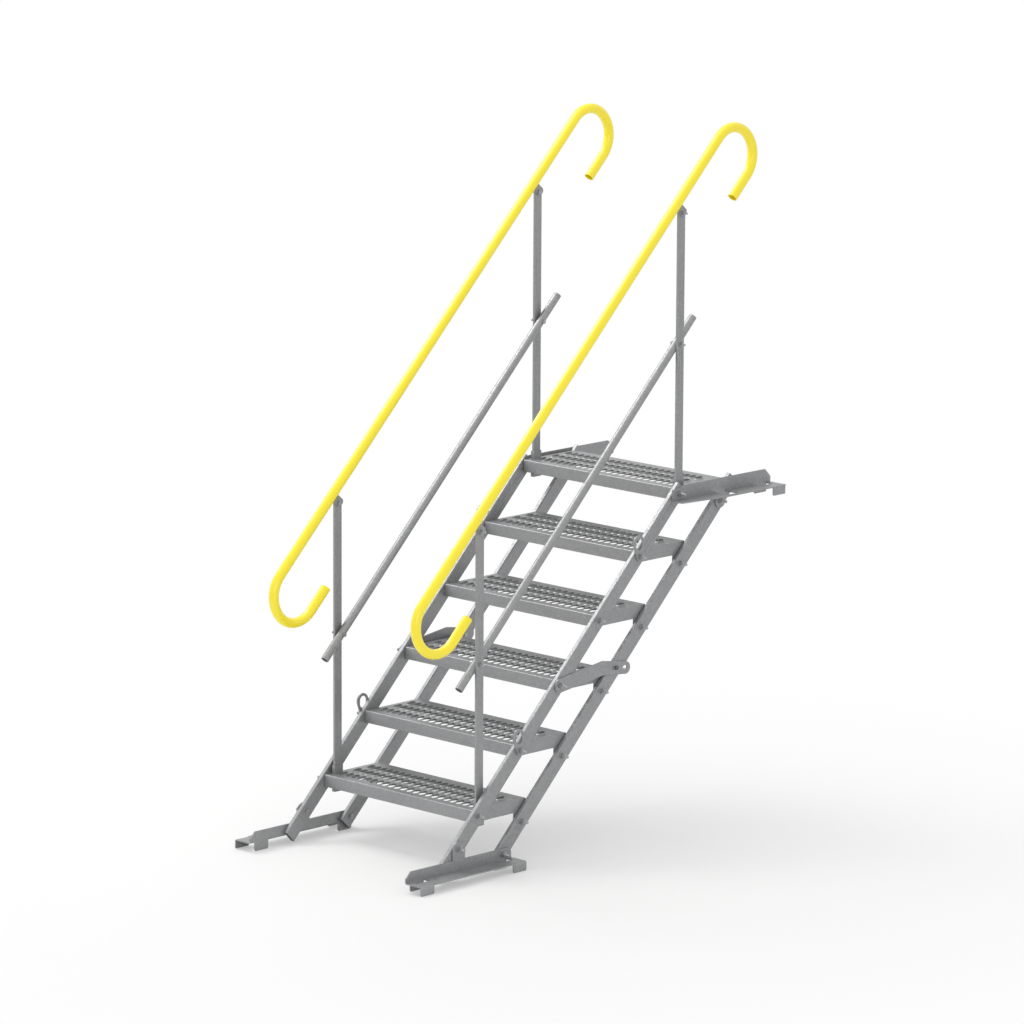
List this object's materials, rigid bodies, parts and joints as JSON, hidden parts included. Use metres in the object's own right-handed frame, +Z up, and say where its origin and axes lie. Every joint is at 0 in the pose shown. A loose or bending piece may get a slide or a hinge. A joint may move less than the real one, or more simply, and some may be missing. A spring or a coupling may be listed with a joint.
{
  "type": "adjustable crossover stair",
  "caption": "Steel crossover stair whose level treads hang between swinging stringers, with folding handrails, slotted lock arms and toothed feet.",
  "frame": {"origin": "middle of the underside of the right foot bracket's flange", "axes": "+Z up, +Y the way up the stair, +X its right-hand side"},
  "size_m": [0.87, 1.7209, 2.3387],
  "materials": {
    "galvanised_steel": "hot-dip galvanised, satin with a fine spangle",
    "galvanised_sheet": "galvanised sheet, satin",
    "zinc_bolts": "zinc plated, semi-bright",
    "yellow_paint": "glossy powder coat"
  },
  "bodies": {
    "base": {"foot_bracket_right": "galvanised_steel", "foot_bracket_left": "galvanised_steel"},
    "front_stringers": {"front_stringer_right": "galvanised_steel", "front_stringer_left": "galvanised_steel", "front_pivot_bolts": "zinc_bolts", "lifting_plates": "galvanised_steel"},
    "rear_stringers": {"rear_stringer_right": "galvanised_steel", "rear_stringer_left": "galvanised_steel", "rear_pivot_bolts": "zinc_bolts", "lock_bolts": "zinc_bolts"},
    "bottom_tread": {"tread_1": "galvanised_sheet", "lower_sockets": "galvanised_steel", "lower_post_right": "galvanised_steel", "lower_post_left": "galvanised_steel", "lower_rail_bolts": "zinc_bolts"},
    "second_tread": {"tread_2": "galvanised_sheet"},
    "third_tread": {"tread_3": "galvanised_sheet"},
    "fourth_tread": {"tread_4": "galvanised_sheet"},
    "fifth_tread": {"tread_5": "galvanised_sheet"},
    "top_tread": {"tread_6": "galvanised_sheet", "upper_sockets": "galvanised_steel", "upper_post_right": "galvanised_steel", "upper_post_left": "galvanised_steel", "upper_rail_bolts": "zinc_bolts", "top_bracket_right": "galvanised_steel", "top_bracket_left": "galvanised_steel"},
    "lock_arms": {"lock_arm_right": "galvanised_steel", "lock_arm_left": "galvanised_steel"},
    "handrails": {"handrail_right": "yellow_paint", "handrail_left": "yellow_paint", "handrail_lugs": "galvanised_steel"},
    "mid_rails": {"mid_rail_right": "galvanised_steel", "mid_rail_left": "galvanised_steel"}
  },
  "joints": [
    {"name": "pitch", "type": "hinge", "parent": "base", "child": "front_stringers", "pos_m": [-0.398, 0, 0.072], "axis": [1, 0, 0], "range_deg": [-38, 3.5]},
    {"name": "rear_swing", "type": "hinge", "parent": "base", "child": "rear_stringers", "pos_m": [-0.398, 0.202, 0.02], "axis": [1, 0, 0], "range_deg": [-38, 3.5]},
    {"name": "bottom_tread_level", "type": "hinge", "parent": "front_stringers", "child": "bottom_tread", "pos_m": [-0.398, 0.09298, 0.16498], "axis": [1, 0, 0], "range_deg": [-3.5, 38]},
    {"name": "second_tread_level", "type": "hinge", "parent": "front_stringers", "child": "second_tread", "pos_m": [-0.398, 0.28037, 0.35237], "axis": [1, 0, 0], "range_deg": [-3.5, 38]},
    {"name": "third_tread_level", "type": "hinge", "parent": "front_stringers", "child": "third_tread", "pos_m": [-0.398, 0.46775, 0.53975], "axis": [1, 0, 0], "range_deg": [-3.5, 38]},
    {"name": "fourth_tread_level", "type": "hinge", "parent": "front_stringers", "child": "fourth_tread", "pos_m": [-0.398, 0.65513, 0.72713], "axis": [1, 0, 0], "range_deg": [-3.5, 38]},
    {"name": "fifth_tread_level", "type": "hinge", "parent": "front_stringers", "child": "fifth_tread", "pos_m": [-0.398, 0.84252, 0.91452], "axis": [1, 0, 0], "range_deg": [-3.5, 38]},
    {"name": "top_tread_level", "type": "hinge", "parent": "front_stringers", "child": "top_tread", "pos_m": [-0.398, 1.0299, 1.1019], "axis": [1, 0, 0], "range_deg": [-3.5, 38]},
    {"name": "handrail_swing", "type": "hinge", "parent": "bottom_tread", "child": "handrails", "pos_m": [-0.398, 0.12598, 1.09698], "axis": [1, 0, 0], "range_deg": [-38, 3.5]},
    {"name": "mid_rail_swing", "type": "hinge", "parent": "bottom_tread", "child": "mid_rails", "pos_m": [-0.398, 0.12598, 0.65798], "axis": [1, 0, 0], "range_deg": [-38, 3.5]},
    {"name": "lock_arm_swing", "type": "hinge", "parent": "front_stringers", "child": "lock_arms", "pos_m": [-0.398, 0.46775, 0.53975], "axis": [1, 0, 0], "range_deg": [-2.58, 27.94]}
  ],
  "couplings": [
    {"joint": "rear_swing", "follows": "pitch", "ratio": 1},
    {"joint": "bottom_tread_level", "follows": "pitch", "ratio": -1},
    {"joint": "second_tread_level", "follows": "pitch", "ratio": -1},
    {"joint": "third_tread_level", "follows": "pitch", "ratio": -1},
    {"joint": "fourth_tread_level", "follows": "pitch", "ratio": -1},
    {"joint": "fifth_tread_level", "follows": "pitch", "ratio": -1},
    {"joint": "top_tread_level", "follows": "pitch", "ratio": -1},
    {"joint": "handrail_swing", "follows": "pitch", "ratio": 1},
    {"joint": "mid_rail_swing", "follows": "pitch", "ratio": 1},
    {"joint": "lock_arm_swing", "follows": "pitch", "ratio": -0.735}
  ]
}
